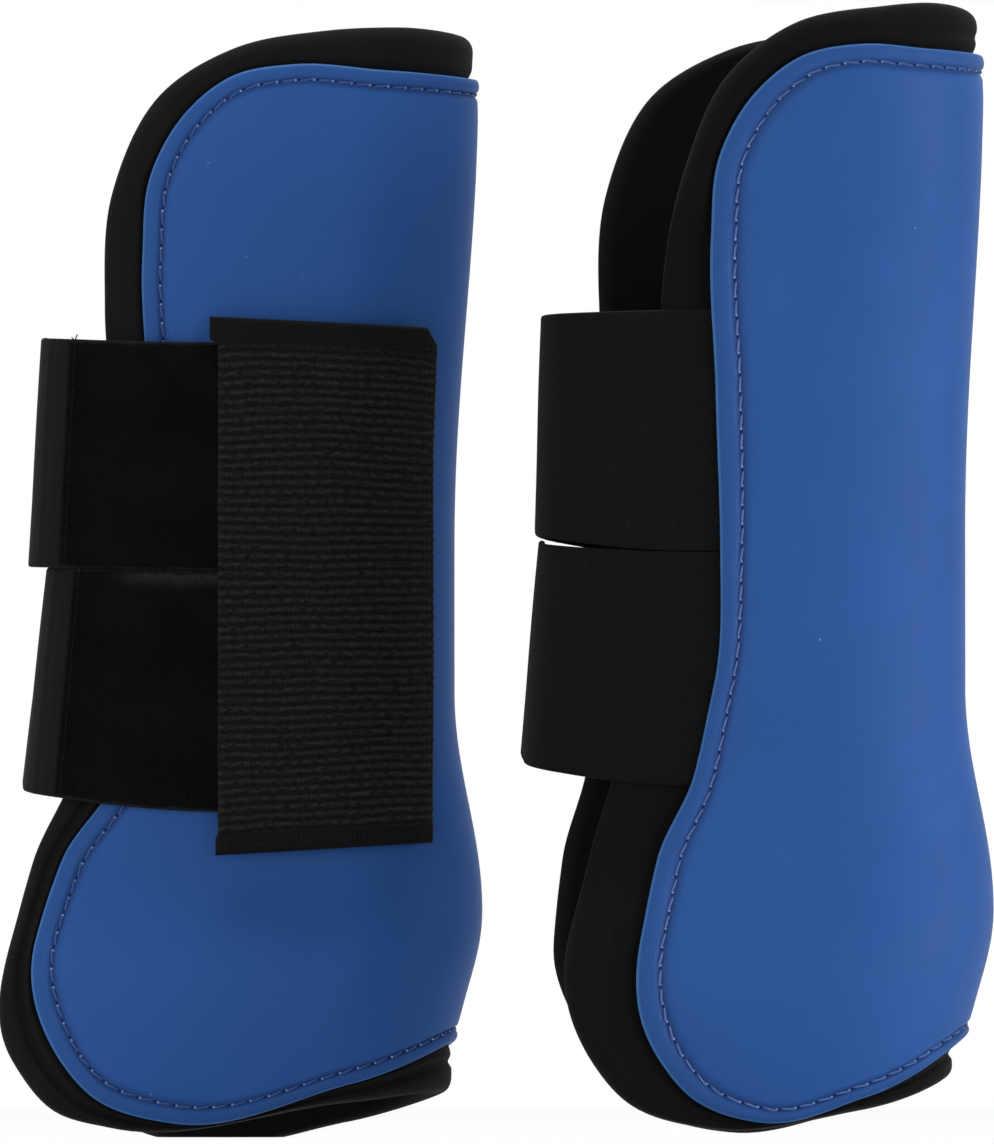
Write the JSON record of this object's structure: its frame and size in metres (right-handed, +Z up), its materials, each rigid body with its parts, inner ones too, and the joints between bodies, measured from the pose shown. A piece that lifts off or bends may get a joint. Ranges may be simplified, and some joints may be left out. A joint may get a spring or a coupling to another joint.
{
  "type": "pair of tendon boots",
  "caption": "Pair of open-front tendon boots for a horse's forelegs: blue moulded shell, soft black lining and elastic straps that close with a hook-and-loop tab.",
  "frame": {"origin": "centre of the pair's outline on the floor it stands on", "axes": "+Z up the leg, +X to the back of the leg, +Y away from the viewer, so the right boot is at -Y"},
  "size_m": [0.246, 0.1974, 0.2814],
  "materials": {
    "shell": "satin",
    "core": "closed-cell foam",
    "lining": "matt, knitted face on neoprene",
    "edge_thread": "twisted thread",
    "elastic": "woven elastic, fine diagonal twill",
    "pile": "brushed loop pile",
    "loop": "loop pile",
    "dark_thread": "stitched bar",
    "webbing": "ribbed woven elastic",
    "hook": "moulded hooks"
  },
  "bodies": {
    "boot_pair": {"left_shell": "shell", "left_core": "core", "left_lining": "lining", "left_edge_thread": "edge_thread", "left_loop_patch": "loop", "left_upper_strap_root": "elastic", "left_lower_strap_root": "elastic", "right_shell": "shell", "right_core": "core", "right_lining": "lining", "right_edge_thread": "edge_thread", "right_loop_patch": "loop", "right_upper_strap_root": "elastic", "right_lower_strap_root": "elastic"},
    "left_strap_front": {"left_upper_strap_front": "elastic", "left_lower_strap_front": "elastic"},
    "left_strap_tab": {"left_upper_strap_side": "elastic", "left_lower_strap_side": "elastic", "left_upper_pile_tape": "pile", "left_lower_pile_tape": "pile", "left_upper_bar_seam": "dark_thread", "left_lower_bar_seam": "dark_thread", "left_closing_tab": "webbing", "left_tab_backing": "webbing", "left_hook_pad": "hook"},
    "right_strap_front": {"right_upper_strap_front": "elastic", "right_lower_strap_front": "elastic"},
    "right_strap_tab": {"right_upper_strap_side": "elastic", "right_lower_strap_side": "elastic", "right_upper_pile_tape": "pile", "right_lower_pile_tape": "pile", "right_upper_bar_seam": "dark_thread", "right_lower_bar_seam": "dark_thread", "right_closing_tab": "webbing", "right_tab_backing": "webbing", "right_hook_pad": "hook"}
  },
  "joints": [
    {"name": "left_strap_swing", "type": "hinge", "parent": "boot_pair", "child": "left_strap_front", "pos_m": [-0.11309, 0.08849, 0.144], "axis": [0, 0, -1], "range_deg": [0, 100]},
    {"name": "left_tab_pull", "type": "hinge", "parent": "left_strap_front", "child": "left_strap_tab", "pos_m": [-0.11309, 0.03631, 0.144], "axis": [0, 0, -1], "range_deg": [0, 90]},
    {"name": "right_strap_swing", "type": "hinge", "parent": "boot_pair", "child": "right_strap_front", "pos_m": [0.01491, -0.08849, 0.144], "axis": [0, 0, 1], "range_deg": [0, 100]},
    {"name": "right_tab_pull", "type": "hinge", "parent": "right_strap_front", "child": "right_strap_tab", "pos_m": [0.01491, -0.03631, 0.144], "axis": [0, 0, 1], "range_deg": [0, 90]}
  ]
}
